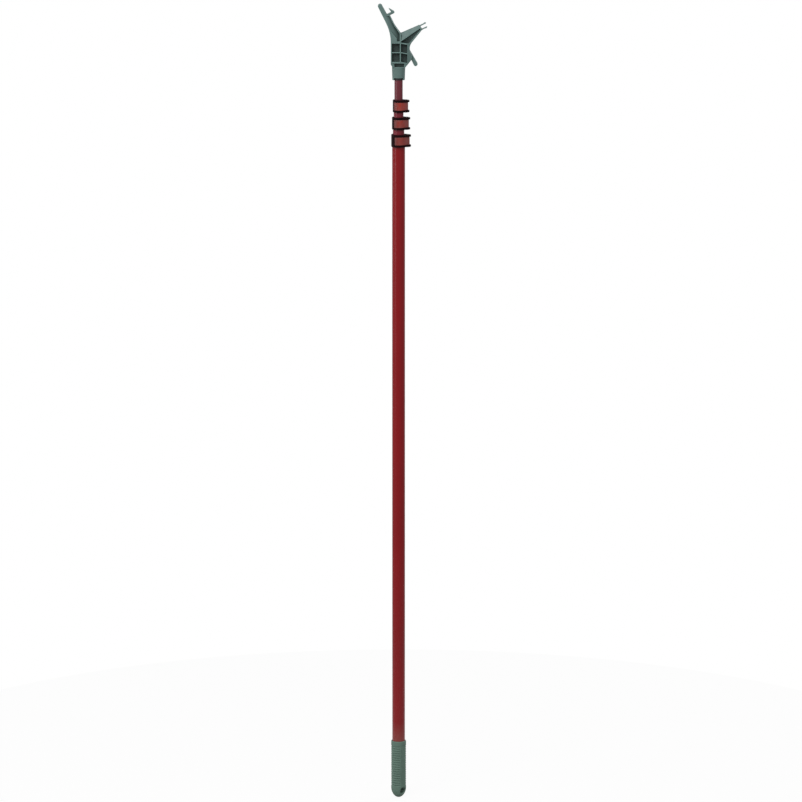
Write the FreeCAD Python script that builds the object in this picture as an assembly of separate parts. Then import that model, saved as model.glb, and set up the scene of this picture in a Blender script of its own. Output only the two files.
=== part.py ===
import FreeCAD, Part
import math
import os

from FreeCAD import Vector

# Telescoping pole: four nested tubes, three flip locks, a hand grip and a line-hanging head.
# Millimetres, +Z up the pole. The origin is the centre of the hanging hole, on the pole's axis,
# and -Y is the front. The pole is closed, with every lever locked.

# ---- Driving dimensions ----

# Tubes, base section first
SECTION_OD = [25.0, 22.0, 19.0, 16.0]
WALL = 1.0
RUN = 0.05                      # radial clearance of a sliding or turning fit
HOLE_HEIGHT = 15.4              # hanging hole above the pole's lower end
POLE_END = -HOLE_HEIGHT

# Hand grip
GRIP_R = 14.75
GRIP_LENGTH = 116.2
GRIP_FLOOR = 25.6               # the base tube stands on this solid end
DOME_HEIGHT = 20.5
GRIP_BEVEL = 1.0                # round its upper rim
GROOVES = 18
GROOVE_PITCH = 4.65
GROOVE_START = 26.0
GROOVE_R = 1.5
GROOVE_DEPTH = 1.1
PLAIN_HALF_ANGLE = 27.0         # strips without grooves, in line with the hanging hole
FLAT_HALF_ANGLE = 21.0          # the flat along the middle of each strip
HANG_ANGLE = -50.0              # heading of the hanging hole, from +X
HANG_R = 5.4
HANG_WALL = 20.8
HANG_RECESS_R = 6.8

# Bushes
BUSH_FLANGE = 8.0
BUSH_SPIGOT = 16.0
BUSH_GAP = 1.0
FIRST_BUSH = 27.6               # lowest tail bush above the pole's lower end
BUSH_WALL = 2.0
MOUTH_LENGTH = 22.0
MOUTH_LIP = 1.5

# Clamp collars
COLLAR_HEIGHT = 23.6
FLANGE = 3.8                    # upper and lower flange, the lever lies between them
COLLAR_START = 1307.2           # lowest collar above the pole's lower end
COLLAR_PITCH = 33.8
COLLAR_WALL = 1.8
COLLAR_SEAT = 10.0              # how far an outer tube reaches into its collar
COLLAR_CLEAR = 0.15
NOSE_X = 0.5
NOSE_Y = -3.0
NOSE_EXTRA = 0.5
EAR_R = 6.8
EDGE_CHAMFER = 0.6

# Lever, pin and pressure pad
PIN_ANGLE = -10.0
PIN_GAP = 6.6                   # from the inner tube's surface to the pin's axis
PIN_R = 1.75
PIN_HEAD_R = 3.0
PIN_HEAD = 0.8
HUB_R = 4.2
CAM_R = 4.1
CAM_OFFSET = 0.6
HUB_POCKET_R = 5.2
FLOOR_STEP = 1.0                # the ring between the flanges is this much smaller
LEVER_CLEAR = 0.3
LEVER_RECESS = 0.4              # the lever's face lies this far inside the flange's edge
LEVER_END_ANGLE = [-118.0, -129.0, -141.0]  # heading of each lever's free end, from +X
LEVER_END_GAP = 2.0             # degrees between that end and its collar
LEVER_END_ROUND = 0.8
PAD_SIZE = 7.0
PAD_BOTTOM = 12.4
PAD_CLEAR = 0.15
PAD_GAP = 0.1

# Collar rivet
RIVET_R = 1.25
RIVET_HEAD_R = 2.5
RIVET_HEAD = 0.9
RIVET_HEIGHT = 5.0

# Pole tip and head
HEAD_START = 1437.2             # head's lower rim above the pole's lower end
TIP_TUBE = 0.4                  # top tube above that rim
TIP_R = 9.2
TIP_TOP = 24.5
TIP_SPIGOT = 30.0
TIP_HOLE_R = 3.0
TIP_HOLE = 15.0
TIP_RIVET_R = 1.2
TIP_RIVET_HEIGHT = -8.0         # from the head's lower rim
SOCKET_TOP = 25.5
RIM_R = 12.1
RIM_TOP_R = 13.0
RIM_HEIGHT = 26.4
NECK_R = 11.0
NECK_TOP = 34.0
NOTCH_HALF_WIDTH = 8.6          # notch at the front and back of the rim, it shows the threaded tip
NOTCH_TOP = 4.6
NOTCH_Y = 4.0

FAR = 60.0                      # reach of a cutting tool that runs past the part
TINY = 0.01                     # two places this near are the same

# Outlines of the head. Corners are (x, height above the head's lower rim, rounding radius).
TRUNK = [
    (-11.2, 25.6, 0), (-15.2, 31.0, 1.5), (-15.2, 93.4, 82), (-41.3, 145.8, 4), (-34.1, 149.6, 4),
    (-22.7, 128.4, 1), (-17.4, 127.6, 0), (-7.4, 107.2, 58), (3.8, 91.2, 0.8), (40.4, 107.6, 1.2),
    (45.9, 98.6, 1.2), (21.6, 69.2, 18), (21.6, 59.0, 12), (26.0, 46.8, 0), (25.4, 40.4, 0),
    (22.9, 37.8, 1), (13.2, 25.6, 0),
]
# The same from the side, as (y, height, radius), and from above, as (x, y, radius)
SIDE = [
    (-10.8, 25.0, 0), (10.8, 25.0, 0), (10.8, 32.8, 0), (12.5, 33.8, 0), (12.5, 80.0, 60),
    (6.4, 121.0, 40), (4.6, 153.0, 0), (-4.6, 153.0, 0), (-6.4, 121.0, 40), (-12.5, 80.0, 60),
    (-12.5, 33.8, 0), (-10.8, 32.8, 0),
]
PLAN = [
    (-FAR, -14.0, 0), (11.0, -14.0, 20), (25.0, -8.2, 30), (48.0, -4.2, 0),
    (48.0, 4.2, 0), (25.0, 8.2, 30), (11.0, 14.0, 20), (-FAR, 14.0, 0),
]

# Pockets between the ribs, the same at the front and the back
WEB = 1.5                       # half thickness of the web between the front and back pockets
NECK_WEB = 4.5                  # the same behind the pocket under the lowest rib
NECK_POCKET = [(-8.0, RIM_HEIGHT, 0), (-8.0, 33.0, 0.8), (10.6, 33.0, 0.8), (10.6, RIM_HEIGHT, 0)]
PANEL_LEFT = -13.0
RIB_LEFT = 2.4                  # the upright rib lies between these two
RIB_RIGHT = 4.6
BAND = 17.0
RIB_HEIGHTS = [35.8, 54.8, 73.2]
RIB_HALF = 1.0
RIB_DROP = 2.4                  # the ribs fall this much towards the right-hand band
POCKET_ROUND = 0.8

# Slanting scoop on the left arm, sloping top of the right arm, and the deep pocket under it
SCOOP = [
    (-25.5, 125.4, 0), (-17.7, 125.4, 0.8), (-8.4, 107.0, 58), (RIB_LEFT, 91.0, 1.2),
    (RIB_LEFT, 76.6, 0.8), (-3.0, 76.6, 0.8), (-3.4, 82.4, 4), (-21.5, 105.0, 30),
]
SCOOP_FLOOR = [(-18.6, -8.6, 106.0), (-5.5, -2.2, 104.0), (-3.2, -7.4, 82.0)]
ARM_TOP = [(RIB_RIGHT, 77.9, 0), (46.0, 105.2, 0), (46.0, 130.0, 0), (RIB_RIGHT, 130.0, 0)]
ARM_TOP_FLOOR = [(4.6, -11.6, 77.9), (41.3, -4.8, 102.1), (3.8, -5.5, 91.2)]
RIGHT_POCKET = [
    (RIB_RIGHT, 74.4, 0.6), (RIB_RIGHT, 76.8, 0.6), (41.3, 101.0, 0.5), (42.5, 98.9, 0.5),
    (28.6, 82.2, 20), (19.8, 72.2, 0.6),
]

# Two springy prongs on the right arm; each starts at (x, height) and has a bulge on one side
PRONG_DIRECTION = 26.5
PRONG_R = 1.1                   # half its thickness at the root
PRONG_TIP_R = 0.9
PRONG_HALF_DEPTH = 2.6
BULGE_R = 1.3
BULGE_BACK = 2.4                # from the tip back to the bulge
BULGE_OFF = 0.5                 # from the prong's line out to the bulge
PRONGS = [(41.7, 106.0, 11.8, 1), (45.3, 98.9, 10.3, -1)]     # x, height, length, side

# Spur and hook; each bar runs between two circles, given as (x, height, radius)
SPUR_ROOT = (20.4, 55.6, 2.6)
SPUR_TIP = (32.9, 31.2, 3.9)
SPUR_HALF_DEPTH = 4.4
HOOK_ROOT = (-20.2, 127.0, 2.3)
HOOK_BEND = (-10.2, 132.1, 2.3)
CLAW = [(-20.2, 140.8, 0.4), (-8.0, 134.1, 1.8), (-11.3, 129.2, 0), (-14.9, 133.4, 1.0)]
HOOK_HALF_DEPTH = 2.7

COLLAR_Z = [POLE_END + COLLAR_START + COLLAR_PITCH * k for k in range(3)]
HEAD_Z = POLE_END + HEAD_START


# ---- Shared shapes ----

def rounded_corner(before, corner, after, radius):
    """Start, middle and end of the arc that rounds a corner."""
    back = (before - corner).normalize()
    ahead = (after - corner).normalize()
    half = back.getAngle(ahead) / 2
    reach = radius / math.tan(half)
    centre = corner + (back + ahead).normalize() * (radius / math.sin(half))
    middle = centre + (corner - centre).normalize() * radius
    return corner + back * reach, middle, corner + ahead * reach


def outline(corners, place):
    """A face from (a, b, radius) corners; place turns (a, b) into a point in space."""
    points = [place(a, b) for a, b, radius in corners]
    edges = []
    stops = []
    for i, (a, b, radius) in enumerate(corners):
        if radius:
            following = points[(i + 1) % len(points)]
            start, middle, end = rounded_corner(points[i - 1], points[i], following, radius)
            edges.append(Part.Arc(start, middle, end).toShape())
            stops.append((start, end))
        else:
            stops.append((points[i], points[i]))
    for i, (start, end) in enumerate(stops):
        following = stops[(i + 1) % len(stops)][0]
        edges.append(Part.makeLine(end, following))
    return Part.Face(Part.Wire(Part.__sortEdges__(edges)))


def front_prism(corners, half_depth):
    """A prism along Y from (x, height) corners of the head."""
    face = outline(corners, lambda x, h: Vector(x, -half_depth, HEAD_Z + h))
    return face.extrude(Vector(0, 2 * half_depth, 0))


def side_prism(corners):
    """A prism along X from (y, height) corners of the head."""
    face = outline(corners, lambda y, h: Vector(-FAR, y, HEAD_Z + h))
    return face.extrude(Vector(2 * FAR, 0, 0))


def plan_prism(corners):
    """A prism along Z from (x, y) corners of the head."""
    face = outline(corners, lambda x, y: Vector(x, y, HEAD_Z))
    return face.extrude(Vector(0, 0, 3 * FAR))


def belt(first, second, place, depth):
    """A prism round two circles, each (a, b, radius), like a belt round two pulleys."""
    a1, b1, r1 = first
    a2, b2, r2 = second
    heading = math.atan2(b2 - b1, a2 - a1)
    spread = math.acos((r1 - r2) / math.hypot(a2 - a1, b2 - b1))

    def on(a, b, r, angle):
        return place(a + r * math.cos(angle), b + r * math.sin(angle))

    left1 = on(a1, b1, r1, heading + spread)
    left2 = on(a2, b2, r2, heading + spread)
    right1 = on(a1, b1, r1, heading - spread)
    right2 = on(a2, b2, r2, heading - spread)
    wire = Part.Wire([
        Part.makeLine(left1, left2),
        Part.Arc(left2, on(a2, b2, r2, heading), right2).toShape(),
        Part.makeLine(right2, right1),
        Part.Arc(right1, on(a1, b1, r1, heading + math.pi), left1).toShape(),
    ])
    return Part.Face(wire).extrude(depth)


def plan_belt(first, second, bottom, height):
    """A belt seen from above, with its circles given as (x, y, radius)."""
    return belt(first, second, lambda x, y: Vector(x, y, bottom), Vector(0, 0, height))


def front_belt(first, second, half_depth):
    """A belt seen from the front of the head, with its circles given as (x, height, radius)."""
    depth = Vector(0, 2 * half_depth, 0)
    return belt(first, second, lambda x, h: Vector(x, -half_depth, HEAD_Z + h), depth)


def tube(outer_r, inner_r, bottom, height):
    """A round tube on the pole's axis."""
    outside = Part.makeCylinder(outer_r, height, Vector(0, 0, bottom))
    return outside.cut(Part.makeCylinder(inner_r, height, Vector(0, 0, bottom)))


def block(x0, x1, y0, y1, z0, z1):
    return Part.makeBox(x1 - x0, y1 - y0, z1 - z0, Vector(x0, y0, z0))


def turned(shape, angle):
    """The shape turned about the pole's axis, in degrees from +X."""
    return shape.rotated(Vector(0, 0, 0), Vector(0, 0, 1), angle)


def front_of(a, b, c):
    """A large block on the -Y side of the plane through three points."""
    normal = (b - a).cross(c - a).normalize()
    if normal.y > 0:
        normal = normal * -1
    return Part.makeCylinder(4 * FAR, 2 * FAR, (a + b + c) / 3, normal)


def clockwise_of(angle):
    """A quarter of space, clockwise of a heading as seen from above."""
    return turned(block(0, FAR, -FAR, 0, POLE_END, 2 * HEAD_Z), angle)


def both_sides(tool):
    """The tool and its mirror image behind the head's middle plane."""
    return tool.fuse(tool.mirror(Vector(0, 0, 0), Vector(0, 1, 0)))


def save(shape, node):
    shape.exportStep("parts/" + node + ".step")


# ---- Hand grip ----

def grip():
    """Built with its hanging hole along X, then turned to the hole's heading."""
    bottom = Vector(0, 0, POLE_END)
    dome_centre = Vector(0, 0, POLE_END + DOME_HEIGHT)
    shoulder = Vector(GRIP_R, 0, POLE_END + DOME_HEIGHT)
    dome = Part.ArcOfEllipse(Part.Ellipse(bottom, shoulder, dome_centre), 0, math.pi / 2).toShape()
    top_z = POLE_END + GRIP_LENGTH
    rim = Vector(GRIP_R - GRIP_BEVEL, 0, top_z)
    below_rim = Vector(GRIP_R, 0, top_z - GRIP_BEVEL)
    groove_z = [POLE_END + GROOVE_START + GROOVE_PITCH * i for i in range(GROOVES)]
    side = [shoulder] + [Vector(GRIP_R, 0, z) for z in groove_z] + [below_rim]
    profile = Part.Wire([
        dome,
        *[Part.makeLine(a, b) for a, b in zip(side, side[1:])],
        Part.makeLine(below_rim, rim),
        Part.makeLine(rim, Vector(0, 0, top_z)),
        Part.makeLine(Vector(0, 0, top_z), bottom),
    ])
    body = Part.Face(profile).revolve(Vector(0, 0, 0), Vector(0, 0, 1), 360)
    bore = Part.makeCylinder(SECTION_OD[0] / 2, GRIP_LENGTH, Vector(0, 0, POLE_END + GRIP_FLOOR))
    body = body.cut(bore)

    flat_y = GRIP_R * math.sin(math.radians(FLAT_HALF_ANGLE))
    flat_x = GRIP_R * math.cos(math.radians(FLAT_HALF_ANGLE))
    plain_y = GRIP_R * math.sin(math.radians(PLAIN_HALF_ANGLE))
    strip_top = POLE_END + GROOVE_START + GROOVE_PITCH * GROOVES
    flats = block(flat_x, FAR, -flat_y, flat_y, POLE_END, strip_top)
    flats = flats.fuse(block(-FAR, -flat_x, -flat_y, flat_y, POLE_END, strip_top))
    plain = block(-FAR, FAR, -plain_y, plain_y, POLE_END, strip_top)

    ring_r = GRIP_R + GROOVE_R - GROOVE_DEPTH
    rings = [Part.makeTorus(ring_r, GROOVE_R, Vector(0, 0, z)) for z in groove_z]
    grooves = Part.makeCompound(rings).cut(plain)
    body = body.cut(flats).cut(grooves)

    sideways = Vector(1, 0, 0)
    hole = Part.makeCylinder(HANG_R, 2 * FAR, Vector(-FAR, 0, 0), sideways)
    for end in (1, -1):
        recess = Part.makeCylinder(HANG_RECESS_R, FAR, Vector(end * HANG_WALL / 2, 0, 0), sideways * end)
        hole = hole.fuse(recess)
    return turned(body.cut(hole), HANG_ANGLE)


# ---- Tubes and bushes ----

def section_bottom(k):
    """Height of the lower end of tube k; each inner tube stands above the last one's bush."""
    if k == 0:
        return POLE_END + GRIP_FLOOR
    return tail_bush_bottom(k) + BUSH_FLANGE


def tail_bush_bottom(k):
    stack = BUSH_FLANGE + BUSH_SPIGOT + BUSH_GAP
    return POLE_END + FIRST_BUSH + stack * (k - 1)


def section_top(k):
    if k < 3:
        return COLLAR_Z[k] + COLLAR_SEAT
    return HEAD_Z + TIP_TUBE


def cross_pin(radius, start, end, height, angle):
    """A round pin that points outwards from the pole's axis."""
    pin = Part.makeCylinder(radius, end - start, Vector(start, 0, height), Vector(1, 0, 0))
    return turned(pin, angle)


def rivet_shank(k):
    outer = SECTION_OD[k] / 2
    return cross_pin(RIVET_R, outer - WALL, outer + COLLAR_WALL, COLLAR_Z[k] + RIVET_HEIGHT, 90)


def tip_rivet():
    return cross_pin(TIP_RIVET_R, 0, SECTION_OD[3] / 2, HEAD_Z + TIP_RIVET_HEIGHT, 90)


def section(k):
    bottom = section_bottom(k)
    outer = SECTION_OD[k] / 2
    shape = tube(outer, outer - WALL, bottom, section_top(k) - bottom)
    if k < 3:
        return shape.cut(rivet_shank(k))
    return shape.cut(tip_rivet())


def tail_bush(k):
    """Plug in the lower end of tube k; its flange slides in the bore of the tube around it."""
    flange_r = SECTION_OD[k - 1] / 2 - WALL - RUN
    spigot_r = SECTION_OD[k] / 2 - WALL
    bottom = tail_bush_bottom(k)
    shape = Part.makeCylinder(flange_r, BUSH_FLANGE, Vector(0, 0, bottom))
    shape = shape.fuse(Part.makeCylinder(spigot_r, BUSH_SPIGOT, Vector(0, 0, bottom + BUSH_FLANGE)))
    length = BUSH_FLANGE + BUSH_SPIGOT
    return shape.cut(Part.makeCylinder(spigot_r - BUSH_WALL, length, Vector(0, 0, bottom)))


def mouth_bush(k):
    """Liner in the upper end of tube k, with a lip on the tube's end, that guides the next tube."""
    top = section_top(k)
    bore = SECTION_OD[k + 1] / 2 + RUN
    liner = tube(SECTION_OD[k] / 2 - WALL, bore, top - MOUTH_LENGTH, MOUTH_LENGTH)
    return liner.fuse(tube(SECTION_OD[k] / 2, bore, top, MOUTH_LIP))


# ---- Clamp collars, levers, pins, pads and rivets ----

def collar_r(k):
    return SECTION_OD[k] / 2 + COLLAR_WALL


def nose(k, smaller=0.0):
    """The circle that the collar's front and the lever's face follow."""
    return (NOSE_X, NOSE_Y, collar_r(k) + NOSE_EXTRA - smaller)


def pin_distance(k):
    return SECTION_OD[k + 1] / 2 + PIN_GAP


def pin_circle(k, radius, nearer=0.0):
    """A circle at the lever's pin, or nearer to the pole's axis."""
    angle = math.radians(PIN_ANGLE)
    distance = pin_distance(k) - nearer
    return (distance * math.cos(angle), distance * math.sin(angle), radius)


def pin_cylinder(k, radius, bottom, height):
    x, y, r = pin_circle(k, radius)
    return Part.makeCylinder(r, height, Vector(x, y, bottom))


def collar_outline(k, bottom, height):
    ring = (0.0, 0.0, collar_r(k))
    ear = pin_circle(k, EAR_R)
    shape = plan_belt(ring, ear, bottom, height)
    shape = shape.fuse(plan_belt(ring, nose(k), bottom, height))
    return shape.fuse(plan_belt(nose(k), ear, bottom, height)).removeSplitter()


def rim_edges(shape, heights):
    """The edges that lie flat at one of the given heights."""
    found = []
    for edge in shape.Edges:
        box = edge.BoundBox
        if any(abs(box.ZMin - z) < TINY and abs(box.ZMax - z) < TINY for z in heights):
            found.append(edge)
    return found


def collar(k):
    bottom = COLLAR_Z[k]
    top = bottom + COLLAR_HEIGHT
    pin_x, pin_y, floor_r = pin_circle(k, collar_r(k) - FLOOR_STEP)
    shape = collar_outline(k, bottom, COLLAR_HEIGHT)
    shape = shape.makeChamfer(EDGE_CHAMFER, rim_edges(shape, (bottom, top)))

    low = bottom + FLANGE
    high = top - FLANGE
    lever_space = block(-FAR, FAR, -FAR, pin_y, low, high)
    lever_space = lever_space.cut(clockwise_of(LEVER_END_ANGLE[k] - LEVER_END_GAP))
    lever_space = lever_space.fuse(block(pin_x, FAR, -FAR, FAR, low, high))
    lever_space = lever_space.cut(Part.makeCylinder(floor_r, COLLAR_HEIGHT, Vector(0, 0, bottom)))
    lever_space = lever_space.fuse(pin_cylinder(k, HUB_POCKET_R, low, high - low))
    shape = shape.cut(lever_space)

    seat = COLLAR_SEAT + MOUTH_LIP
    shape = shape.cut(Part.makeCylinder(SECTION_OD[k] / 2, seat, Vector(0, 0, bottom)))
    bore_r = SECTION_OD[k + 1] / 2 + COLLAR_CLEAR
    shape = shape.cut(Part.makeCylinder(bore_r, COLLAR_HEIGHT, Vector(0, 0, bottom)))
    shape = shape.cut(pad_block(k, PAD_CLEAR, 0, pin_distance(k)))
    shape = shape.cut(pin_cylinder(k, PIN_R, bottom, COLLAR_HEIGHT))
    return shape.cut(rivet_shank(k))


def pad_block(k, clear, start, end):
    """A block on the line from the pole's axis to the pin, as large as the pad plus a clearance."""
    half = PAD_SIZE / 2 + clear
    bottom = COLLAR_Z[k] + PAD_BOTTOM
    return turned(block(start, end, -half, half, bottom - clear, bottom + PAD_SIZE + clear), PIN_ANGLE)


def pad(k):
    outer = pin_distance(k) - CAM_R - CAM_OFFSET - PAD_GAP
    shape = pad_block(k, 0.0, 0.0, outer)
    inner_r = SECTION_OD[k + 1] / 2 + PAD_GAP
    return shape.cut(Part.makeCylinder(inner_r, COLLAR_HEIGHT, Vector(0, 0, COLLAR_Z[k])))


def is_free_end(edge, angle):
    """True for the upright edges at the lever's free end."""
    middle = edge.CenterOfMass
    off_line = middle.y * math.cos(math.radians(angle)) - middle.x * math.sin(math.radians(angle))
    ahead = middle.x * math.cos(math.radians(angle)) + middle.y * math.sin(math.radians(angle))
    return abs(off_line) < TINY and ahead > 0 and edge.BoundBox.ZLength > EDGE_CHAMFER


def lever(k):
    bottom = COLLAR_Z[k] + FLANGE + LEVER_CLEAR
    height = COLLAR_HEIGHT - 2 * FLANGE - 2 * LEVER_CLEAR
    hub = pin_circle(k, HUB_R)
    arm = plan_belt(nose(k, LEVER_RECESS), hub, bottom, height)
    arm = arm.common(block(-FAR, FAR, -FAR, hub[1], bottom, bottom + height))
    arm = arm.cut(clockwise_of(LEVER_END_ANGLE[k]))
    inner_r = collar_r(k) - FLOOR_STEP + LEVER_CLEAR
    arm = arm.cut(Part.makeCylinder(inner_r, COLLAR_HEIGHT, Vector(0, 0, COLLAR_Z[k])))
    cam = plan_belt(hub, pin_circle(k, CAM_R, CAM_OFFSET), bottom, height)
    shape = arm.fuse(cam).removeSplitter()
    shape = shape.cut(pin_cylinder(k, PIN_R + RUN, bottom, height))
    end_edges = [edge for edge in shape.Edges if is_free_end(edge, LEVER_END_ANGLE[k])]
    return shape.makeFillet(LEVER_END_ROUND, end_edges)


def lever_pin(k):
    bottom = COLLAR_Z[k]
    shape = pin_cylinder(k, PIN_R, bottom, COLLAR_HEIGHT)
    x, y, r = pin_circle(k, PIN_HEAD_R)
    for start, direction in ((bottom + COLLAR_HEIGHT, 1), (bottom, -1)):
        head = Part.makeCone(r, r - PIN_HEAD / 2, PIN_HEAD, Vector(x, y, start), Vector(0, 0, direction))
        shape = shape.fuse(head)
    return shape


def collar_rivet(k):
    """Rivet at the back that holds the collar on its tube."""
    start = collar_r(k)
    centre = Vector(start - RIVET_HEAD, 0, COLLAR_Z[k] + RIVET_HEIGHT)
    outer_r = RIVET_HEAD_R - RIVET_HEAD / 2
    head = Part.makeCone(RIVET_HEAD_R, outer_r, 2 * RIVET_HEAD, centre, Vector(1, 0, 0))
    head = turned(head, 90).cut(Part.makeCylinder(start, COLLAR_HEIGHT, Vector(0, 0, COLLAR_Z[k])))
    return rivet_shank(k).fuse(head)


# ---- Pole tip and its rivet ----

def pole_tip():
    tube_top = HEAD_Z + TIP_TUBE
    shape = Part.makeCylinder(TIP_R, TIP_TOP - TIP_TUBE, Vector(0, 0, tube_top))
    spigot_r = SECTION_OD[3] / 2 - WALL
    shape = shape.fuse(Part.makeCylinder(spigot_r, TIP_SPIGOT, Vector(0, 0, tube_top - TIP_SPIGOT)))
    hole = Part.makeCylinder(TIP_HOLE_R, TIP_HOLE, Vector(0, 0, tube_top - TIP_SPIGOT))
    return shape.cut(hole).cut(tip_rivet())


# ---- Hook head ----

def panel(left, right, lower, upper, drop):
    """Corners of a pocket between two ribs; drop lowers its right-hand side."""
    return [
        (left, lower, POCKET_ROUND), (left, upper, POCKET_ROUND),
        (right, upper - drop, POCKET_ROUND), (right, lower - drop, POCKET_ROUND),
    ]


def pocket(corners, web=WEB):
    """A pocket from the front face down to the web."""
    prism = front_prism(corners, FAR)
    return prism.common(block(-FAR, FAR, -FAR, -web, HEAD_Z, HEAD_Z + 3 * FAR))


def slope(corners, low, high, deep):
    """What is cut off in front of the plane through three (x, y, height) points, inside the corners."""
    places = [Vector(x, y, HEAD_Z + h) for x, y, h in (low, high, deep)]
    return front_prism(corners, FAR).common(front_of(*places))


def pockets():
    tools = [slope(SCOOP, *SCOOP_FLOOR), slope(ARM_TOP, *ARM_TOP_FLOOR), pocket(RIGHT_POCKET)]
    for lower_rib, upper_rib in zip(RIB_HEIGHTS, RIB_HEIGHTS[1:]):
        lower = lower_rib + RIB_HALF
        upper = upper_rib - RIB_HALF
        tools.append(pocket(panel(PANEL_LEFT, RIB_LEFT, lower, upper, 0)))
        tools.append(pocket(panel(RIB_RIGHT, BAND, lower, upper, RIB_DROP)))
    return tools


def prong(x, h, length, side):
    """A thin springy prong with a rounded bulge near its tip."""
    angle = math.radians(PRONG_DIRECTION)
    along_x, along_h = math.cos(angle), math.sin(angle)
    tip_x, tip_h = x + along_x * length, h + along_h * length
    tip = (tip_x, tip_h, PRONG_TIP_R)
    bulge_x = tip_x - along_x * BULGE_BACK - along_h * BULGE_OFF * side
    bulge_h = tip_h - along_h * BULGE_BACK + along_x * BULGE_OFF * side
    stem = front_belt((x, h, PRONG_R), tip, PRONG_HALF_DEPTH)
    return stem.fuse(front_belt((bulge_x, bulge_h, BULGE_R), tip, PRONG_HALF_DEPTH))


def head():
    shape = front_prism(TRUNK, FAR).common(side_prism(SIDE)).common(plan_prism(PLAN))
    for tool in pockets():
        shape = shape.cut(both_sides(tool))
    shape = shape.fuse(front_belt(SPUR_ROOT, SPUR_TIP, SPUR_HALF_DEPTH))
    shape = shape.fuse(front_belt(HOOK_ROOT, HOOK_BEND, HOOK_HALF_DEPTH))
    shape = shape.fuse(front_prism(CLAW, HOOK_HALF_DEPTH))
    for values in PRONGS:
        shape = shape.fuse(prong(*values))
    rim = Part.makeCone(RIM_R, RIM_TOP_R, RIM_HEIGHT, Vector(0, 0, HEAD_Z))
    neck = Part.makeCylinder(NECK_R, NECK_TOP, Vector(0, 0, HEAD_Z))
    shape = shape.fuse(rim).fuse(neck).removeSplitter()
    notch = block(-NOTCH_HALF_WIDTH, NOTCH_HALF_WIDTH, -FAR, -NOTCH_Y, HEAD_Z, HEAD_Z + NOTCH_TOP)
    for tool in (pocket(NECK_POCKET, NECK_WEB), notch):
        shape = shape.cut(both_sides(tool))
    return shape.cut(Part.makeCylinder(TIP_R, SOCKET_TOP, Vector(0, 0, HEAD_Z)))


# ---- Every part in its own file ----

os.makedirs("parts", exist_ok=True)

save(grip(), "grip")
for number in range(4):
    save(section(number), "section_" + str(number + 1))
for number in range(1, 4):
    save(tail_bush(number), "tail_bush_" + str(number + 1))
for number in range(3):
    name = str(number + 1)
    save(mouth_bush(number), "mouth_bush_" + name)
    save(collar(number), "collar_" + name)
    save(lever(number), "lever_" + name)
    save(lever_pin(number), "lever_pin_" + name)
    save(pad(number), "pad_" + name)
    save(collar_rivet(number), "collar_rivet_" + name)
save(pole_tip(), "pole_tip")
save(tip_rivet(), "tip_rivet")
save(head(), "hook_head")
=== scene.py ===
import math

import bpy
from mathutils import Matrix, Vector


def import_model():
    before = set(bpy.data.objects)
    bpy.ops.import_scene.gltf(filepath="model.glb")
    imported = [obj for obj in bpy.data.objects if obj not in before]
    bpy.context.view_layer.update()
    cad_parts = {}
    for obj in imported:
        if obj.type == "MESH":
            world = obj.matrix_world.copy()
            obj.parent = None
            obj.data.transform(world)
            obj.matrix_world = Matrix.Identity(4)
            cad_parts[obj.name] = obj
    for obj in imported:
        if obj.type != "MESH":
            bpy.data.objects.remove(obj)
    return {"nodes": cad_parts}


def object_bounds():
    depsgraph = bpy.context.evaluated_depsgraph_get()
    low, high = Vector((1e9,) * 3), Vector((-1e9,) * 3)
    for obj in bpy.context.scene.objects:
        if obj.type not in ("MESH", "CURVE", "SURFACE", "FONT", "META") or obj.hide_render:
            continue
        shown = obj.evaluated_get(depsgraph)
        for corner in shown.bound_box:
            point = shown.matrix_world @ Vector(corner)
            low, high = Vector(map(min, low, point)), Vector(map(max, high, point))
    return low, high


# Looks of the telescoping pole, in metres.
# +Z is up the pole and -Y its front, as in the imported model.

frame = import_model()
cad_low, cad_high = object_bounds()
scene = bpy.context.scene

# ---- Driving values ----

# Camera: a long lens far in front and above, which looks down on the pole
CAMERA_DISTANCE = 11.0
CAMERA_HEIGHT = 3.05
CAMERA_SIDE = 0.0047            # the pole stands this far left of the picture's middle
FRAME_FILL = 0.9886             # the pole's height as a share of the picture's
FRAME_RISE = 0.0009             # how far above the middle it sits, as a share of the picture
SENSOR = 36.0

# Light
FLOOR_R = 1.2
FLOOR_GLOW = 0.93               # share of even white in what the camera sees of the floor
FLOOR_BOUNCE = (165, 165, 165)  # the floor as the pole's own surfaces see it
WORLD_LIGHT = 0.33
LIGHT_DISTANCE = 4.0
LIGHT_AIM = 0.8                 # height of the point that the lights face
# Each light: name, strength, width in metres, heading in degrees from the front to the right,
# and height in degrees
LIGHTS = [
    ("key", 1.6, 2.2, -24.0, 44.0),
    ("strip", 0.34, 0.7, -60.0, 4.0),
    ("edge", 0.5, 1.2, -118.0, 12.0),
    ("fill", 0.2, 2.6, 42.0, 20.0),
    ("rim", 0.9, 1.6, 128.0, 25.0),
]

# Where the finish changes, in metres
PALER_HEIGHTS = (0.106, 0.14)           # heights between which the paler tone above the hand grip fades out
FREE_END = (-0.009, 0.002)      # a lever's darker tone fades out from its free end
LEVER_HEIGHTS = (1.305, 1.375)  # heights between which a lower lever's extra darkening fades out
HINGE_END = (0.009, 0.0155)     # the paler tone grows towards its hinge

# Nodes: the colour sockets of a mix, and the rays that find the depth of a hollow
MIX_INPUTS = (6, 7)
MIX_RESULT = 2
HOLLOW_SAMPLES = 8
VIEW_REACH = 100.0              # how far the camera sees

# Mesh finish: voxel size and number of smoothing steps that round a moulded part's edges
MOULDED = {
    "hook_head": (0.00057, 2),
    "grip": (0.00053, 1),
    "collar": (0.00032, 2),
    "lever": (0.0003, 2),
}


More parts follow.
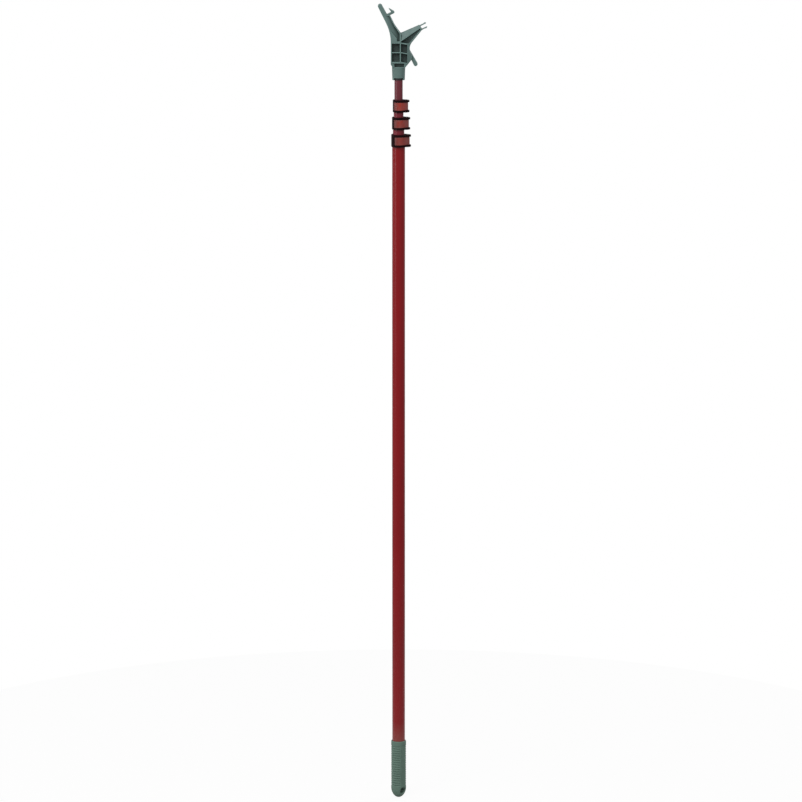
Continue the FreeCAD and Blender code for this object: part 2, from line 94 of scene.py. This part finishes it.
def srgb(red, green, blue):
    """A linear colour from 0 to 255 display values."""
    def linear(value):
        share = value / 255
        if share <= 0.04045:
            return share / 12.92
        return ((share + 0.055) / 1.055) ** 2.4
    return (linear(red), linear(green), linear(blue), 1.0)


def shade(colour, factor):
    return tuple(min(channel * factor, 1.0) for channel in colour[:3]) + (1.0,)


# ---- Node helpers ----

class Paint:
    """A material with its Principled shader, and short ways to add nodes to it."""

    def __init__(self, name, metallic=0.0, specular=0.5):
        self.material = bpy.data.materials.new(name)
        self.material.use_nodes = True
        self.tree = self.material.node_tree
        self.shader = self.tree.nodes["Principled BSDF"]
        self.shader.inputs["Metallic"].default_value = metallic
        self.shader.inputs["Specular IOR Level"].default_value = specular
        self.place = self.add("ShaderNodeTexCoord").outputs["Object"]

    def add(self, kind, **values):
        made = self.tree.nodes.new(kind)
        for name, value in values.items():
            setattr(made, name, value)
        return made

    def join(self, source, target):
        self.tree.links.new(source, target)

    def stretched(self, scale):
        """The object's coordinates, scaled apart along each axis."""
        mapping = self.add("ShaderNodeMapping")
        mapping.inputs["Scale"].default_value = scale
        self.join(self.place, mapping.inputs["Vector"])
        return mapping.outputs["Vector"]

    def along(self, axis):
        """The object's coordinate along X, Y or Z."""
        parts = self.add("ShaderNodeSeparateXYZ")
        self.join(self.place, parts.inputs["Vector"])
        return parts.outputs[axis]

    def noise(self, scale, detail=2.0, rough=0.5, place=None):
        made = self.add("ShaderNodeTexNoise")
        made.inputs["Scale"].default_value = scale
        made.inputs["Detail"].default_value = detail
        made.inputs["Roughness"].default_value = rough
        self.join(place or self.place, made.inputs["Vector"])
        return made.outputs["Fac"]

    def ramp(self, source, low, high, low_value, high_value):
        """The source stretched from low..high to low_value..high_value, and held at both ends."""
        made = self.add("ShaderNodeMapRange")
        made.inputs["From Min"].default_value = low
        made.inputs["From Max"].default_value = high
        made.inputs["To Min"].default_value = low_value
        made.inputs["To Max"].default_value = high_value
        self.join(source, made.inputs["Value"])
        return made.outputs["Result"]

    def mix(self, factor, first, second):
        """A mix of two colours; each is a colour or another node's output."""
        made = self.add("ShaderNodeMix", data_type="RGBA")
        self.join(factor, made.inputs["Factor"])
        for slot, value in zip(MIX_INPUTS, (first, second)):
            if isinstance(value, tuple):
                made.inputs[slot].default_value = value
            else:
                self.join(value, made.inputs[slot])
        return made.outputs[MIX_RESULT]

    def bump(self, height, strength, distance, under=None):
        made = self.add("ShaderNodeBump")
        made.inputs["Strength"].default_value = strength
        made.inputs["Distance"].default_value = distance
        self.join(height, made.inputs["Height"])
        if under:
            self.join(under, made.inputs["Normal"])
        return made.outputs["Normal"]

    def edges(self, low, high):
        """1 on sharp outer edges, 0 elsewhere."""
        point = self.add("ShaderNodeNewGeometry").outputs["Pointiness"]
        return self.ramp(point, low, high, 0.0, 1.0)

    def hollows(self, distance, low, high):
        """1 in the depth of a hollow, 0 in the open."""
        made = self.add("ShaderNodeAmbientOcclusion", samples=HOLLOW_SAMPLES)
        made.inputs["Distance"].default_value = distance
        return self.ramp(made.outputs["AO"], low, high, 1.0, 0.0)

    def finish(self, colour, roughness, normal):
        self.join(colour, self.shader.inputs["Base Color"])
        self.join(roughness, self.shader.inputs["Roughness"])
        self.join(normal, self.shader.inputs["Normal"])
        return self.material


# ---- Materials ----

def powder_coat(name, colour):
    """Powder coat with orange peel, drifts of tone, rubbed lines and painted shade at its joints.

    Just above the hand grip it turns paler."""
    paint = Paint(name, specular=0.38)
    drift = paint.noise(5.0, 3.0)
    drift = paint.ramp(drift, 0.3, 0.7, 0.0, 1.0)
    tone = paint.mix(drift, shade(colour, 0.9), shade(colour, 1.08))
    speckle = paint.ramp(paint.noise(1400.0, 2.0), 0.35, 0.65, 0.0, 0.3)
    tone = paint.mix(speckle, tone, shade(colour, 0.82))
    lines = paint.noise(1.0, 4.0, 0.7, paint.stretched((1500.0, 1500.0, 14.0)))
    rubbed = paint.ramp(lines, 0.6, 0.78, 0.0, 0.35)
    tone = paint.mix(rubbed, tone, shade(colour, 1.35))
    # painted shade: darker close to a collar or the grip
    tone = paint.mix(paint.hollows(0.007, 0.35, 0.9), tone, shade(colour, 0.62))
    # paler just above the hand grip
    tone = paint.mix(paint.ramp(paint.along("Z"), *PALER_HEIGHTS, 0.45, 0.0), tone, PALER_TONE)
    gloss = paint.ramp(lines, 0.35, 0.75, 0.28, 0.42)
    peel = paint.bump(paint.noise(650.0, 2.0), 0.12, 0.00012)
    return paint.finish(tone, gloss, peel)


def moulded(name, colour, gloss, grain, grain_depth,
            edge=1.2, hollow=0.5, reach=0.004, specular=0.4):
    """Moulded plastic: mould grain, flow marks, paler edges for wear and painted highlight, and
    painted shade in the hollows.
    """
    paint = Paint(name, specular=specular)
    flow = paint.noise(38.0, 4.0, 0.6)
    flow = paint.ramp(flow, 0.3, 0.7, 0.0, 1.0)
    tone = paint.mix(flow, shade(colour, 0.9), shade(colour, 1.09))
    dust = paint.ramp(paint.noise(420.0, 3.0), 0.55, 0.75, 0.0, 0.35)
    tone = paint.mix(dust, tone, shade(colour, 1.2))
    # paler edges: wear, and on the head a painted highlight
    edge_wear_and_highlight = paint.edges(0.515, 0.56)
    tone = paint.mix(edge_wear_and_highlight, tone, shade(colour, edge))
    # painted shade: darker deep in hollows and recesses
    tone = paint.mix(paint.hollows(reach, 0.3, 0.85), tone, shade(colour, hollow))
    shine = paint.ramp(paint.noise(160.0, 3.0), 0.3, 0.7, gloss - 0.06, gloss + 0.08)
    fine = paint.bump(paint.noise(grain, 3.0, 0.6), 0.25, grain_depth)
    wavy = paint.bump(paint.noise(90.0, 2.0), 0.1, 0.0002, fine)
    return paint.finish(tone, shine, wavy)


def lever_plastic(name, colour, pale):
    """Lever plastic: pale blotches as painted highlights, lighter vertical streaks as painted
    reflections, a darker free end, darker lower levers, a paler hinge end and painted shade where
    it sits in the collar.
    """
    paint = Paint(name, specular=0.4)
    # painted highlights: pale blotches
    blotch = paint.ramp(paint.noise(240.0, 3.0, 0.6), 0.42, 0.66, 0.0, 0.75)
    tone = paint.mix(blotch, colour, pale)
    # painted reflections: lighter vertical streaks, which also give a slight bump
    streak = paint.noise(1.0, 3.0, 0.6, paint.stretched((700.0, 700.0, 90.0)))
    tone = paint.mix(paint.ramp(streak, 0.5, 0.75, 0.0, 0.5), tone, shade(colour, 1.25))
    tone = paint.mix(paint.edges(0.505, 0.54), tone, pale)
    across = paint.along("X")
    # the lower levers are darker
    lower_lever_darkening = paint.ramp(paint.along("Z"), *LEVER_HEIGHTS, 0.4, 0.0)
    tone = paint.mix(lower_lever_darkening, tone, shade(pale, 0.5))
    # darker towards the lever's free end
    tone = paint.mix(paint.ramp(across, *FREE_END, 0.85, 0.0), tone, shade(pale, 0.42))
    # paler towards the lever's hinge end
    tone = paint.mix(paint.ramp(across, *HINGE_END, 0.0, 0.7), tone, shade(pale, 0.85))
    # painted shade: darker where the lever sits in the collar
    tone = paint.mix(paint.hollows(0.006, 0.25, 0.85), tone, shade(pale, 0.45))
    shine = paint.ramp(blotch, 0.0, 0.6, 0.32, 0.5)
    fine = paint.bump(paint.noise(2800.0, 3.0, 0.6), 0.2, 0.00008)
    return paint.finish(tone, shine, paint.bump(streak, 0.08, 0.0001, fine))


def dark_steel(name):
    """Blackened steel with tarnish."""
    colour = srgb(84, 78, 76)
    paint = Paint(name, metallic=1.0)
    blotch = paint.ramp(paint.noise(500.0, 4.0), 0.4, 0.7, 0.0, 0.6)
    tone = paint.mix(blotch, colour, srgb(52, 46, 44))
    shine = paint.ramp(paint.noise(900.0, 3.0), 0.3, 0.7, 0.34, 0.52)
    return paint.finish(tone, shine, paint.bump(paint.noise(2600.0, 2.0), 0.15, 0.00005))


# the paler tone just above the hand grip
PALER_TONE = srgb(150, 92, 84)
RED = powder_coat("red_powder_coat", srgb(143, 8, 17))
# sections 2 and 3: a redder coat, partly a painted reflection of the red levers around them
WINE = powder_coat("wine_powder_coat", srgb(134, 40, 54))
MAROON = powder_coat("maroon_powder_coat", srgb(112, 46, 56))
GRIP_GREEN = moulded("grip_green", srgb(103, 129, 116), 0.62, 2200.0, 0.00015,
                     edge=1.1, hollow=0.4, reach=0.003)
# the head gets a strong painted highlight on its edges and a deep, wide painted shade in its
# pockets and scoop
HEAD_GREEN = moulded("head_green", srgb(98, 122, 118), 0.5, 2600.0, 0.0001,
                     edge=1.9, hollow=0.27, reach=0.02)
COLLAR_BLACK = moulded("collar_black", srgb(26, 5, 8), 0.55, 2400.0, 0.0001,
                       edge=1.3, specular=0.08)
LEVER_RED = lever_plastic("lever_red", srgb(168, 54, 40), srgb(142, 82, 80))
BUSH_WHITE = moulded("bush_white", srgb(206, 203, 194), 0.42, 2800.0, 0.00006,
                     edge=1.05, hollow=0.7)
PAD_GREY = moulded("pad_grey", srgb(66, 66, 68), 0.5, 2600.0, 0.0001)
TIP_BLACK = moulded("tip_black", srgb(38, 36, 38), 0.45, 2600.0, 0.0001, edge=1.4)
STEEL = dark_steel("dark_steel")

FINISHES = [
    ("section_1", RED),
    ("section_4", MAROON),
    ("section_", WINE),
    ("grip", GRIP_GREEN),
    ("hook_head", HEAD_GREEN),
    ("collar_rivet", STEEL),
    ("tip_rivet", STEEL),
    ("collar_", COLLAR_BLACK),
    ("lever_pin", STEEL),
    ("lever_", LEVER_RED),
    ("tail_bush", BUSH_WHITE),
    ("mouth_bush", BUSH_WHITE),
    ("pad_", PAD_GREY),
    ("pole_tip", TIP_BLACK),
]


def finish_of(node):
    for start, material in FINISHES:
        if node.startswith(start):
            return material
    raise ValueError("no finish for " + node)


def moulding_of(node):
    """Voxel size and smoothing for a moulded node, or None for a tube, pin, bush or pad."""
    for start, values in MOULDED.items():
        if node.startswith(start) and "pin" not in node and "rivet" not in node:
            return values
    return None


def round_edges(part, voxel, steps):
    """Rounds a moulded part's edges without touching its mesh."""
    remesh = part.modifiers.new("skin", "REMESH")
    remesh.mode = "VOXEL"
    remesh.voxel_size = voxel
    remesh.use_smooth_shade = True
    smooth = part.modifiers.new("soften", "SMOOTH")
    smooth.factor = 0.5
    smooth.iterations = steps


def dress(name, part):
    part.data.materials.clear()
    part.data.materials.append(finish_of(name))
    values = moulding_of(name)
    if values:
        round_edges(part, *values)


# ---- Stage, light and camera ----

def floor():
    """Pale paper, which the camera sees partly as even white.

    The pole gets less light back from it."""
    bpy.ops.mesh.primitive_circle_add(vertices=96, radius=FLOOR_R, fill_type="NGON",
                                      location=(0, 0, cad_low.z))
    made = bpy.context.object
    made.name = "floor"
    surface = Paint("floor_paper")
    path = surface.add("ShaderNodeLightPath")
    tint = surface.noise(0.6, 2.0)
    tone = surface.mix(tint, srgb(246, 246, 246), srgb(250, 250, 250))
    tone = surface.mix(path.outputs["Is Diffuse Ray"], tone, srgb(*FLOOR_BOUNCE))
    grain = surface.bump(surface.noise(400.0), 0.05, 0.0002)
    matt = surface.ramp(tint, 0.0, 1.0, 0.88, 0.94)
    made.data.materials.append(surface.finish(tone, matt, grain))
    glow = surface.add("ShaderNodeEmission")
    blend = surface.add("ShaderNodeMixShader")
    seen = surface.ramp(path.outputs["Is Camera Ray"], 0.0, 1.0, 0.0, FLOOR_GLOW)
    surface.join(seen, blend.inputs["Fac"])
    surface.join(surface.shader.outputs["BSDF"], blend.inputs[1])
    surface.join(glow.outputs["Emission"], blend.inputs[2])
    surface.join(blend.outputs["Shader"], surface.tree.nodes["Material Output"].inputs["Surface"])


def world():
    made = bpy.data.worlds.new("studio")
    made.use_nodes = True
    scene.world = made
    tree = made.node_tree
    background = tree.nodes["Background"]
    background.inputs["Color"].default_value = (1, 1, 1, 1)
    background.inputs["Strength"].default_value = WORLD_LIGHT
    backdrop = tree.nodes.new("ShaderNodeBackground")
    backdrop.inputs["Color"].default_value = (1, 1, 1, 1)
    path = tree.nodes.new("ShaderNodeLightPath")
    blend = tree.nodes.new("ShaderNodeMixShader")
    tree.links.new(path.outputs["Is Camera Ray"], blend.inputs["Fac"])
    tree.links.new(background.outputs["Background"], blend.inputs[1])
    tree.links.new(backdrop.outputs["Background"], blend.inputs[2])
    tree.links.new(blend.outputs["Shader"], tree.nodes["World Output"].inputs["Surface"])


def lamp(name, strength, size, heading, height):
    """A large square light, placed by heading and height in degrees, that faces the pole."""
    data = bpy.data.lights.new(name, "AREA")
    data.size = size
    data.energy = strength * math.pi * LIGHT_DISTANCE ** 2
    made = bpy.data.objects.new(name, data)
    scene.collection.objects.link(made)
    side = math.radians(heading)
    up = math.radians(height)
    towards = Vector((math.sin(side) * math.cos(up), -math.cos(side) * math.cos(up), math.sin(up)))
    made.location = Vector((0, 0, LIGHT_AIM)) + towards * LIGHT_DISTANCE
    made.rotation_mode = "QUATERNION"
    made.rotation_quaternion = towards.to_track_quat("Z", "Y")


def camera():
    """Aims so that the pole's two ends sit where FRAME_FILL and FRAME_RISE put them."""
    data = bpy.data.cameras.new("camera")
    made = bpy.data.objects.new("camera", data)
    scene.collection.objects.link(made)
    scene.camera = made
    made.location = (CAMERA_SIDE, -CAMERA_DISTANCE, CAMERA_HEIGHT)
    upper = math.atan2(cad_high.z - CAMERA_HEIGHT, CAMERA_DISTANCE)
    lower = math.atan2(cad_low.z - CAMERA_HEIGHT, CAMERA_DISTANCE)
    half = (upper - lower) / 2
    pitch = (upper + lower) / 2 - 2 * FRAME_RISE / FRAME_FILL * half
    made.rotation_euler = (math.pi / 2 + pitch, 0, 0)
    spread = math.tan(upper - pitch) + math.tan(pitch - lower)
    data.sensor_width = SENSOR
    data.lens = SENSOR * FRAME_FILL / spread
    data.clip_end = VIEW_REACH


for node_name, node_object in frame["nodes"].items():
    dress(node_name, node_object)
world()
floor()
for values in LIGHTS:
    lamp(*values)
camera()
scene.view_settings.view_transform = "Standard"
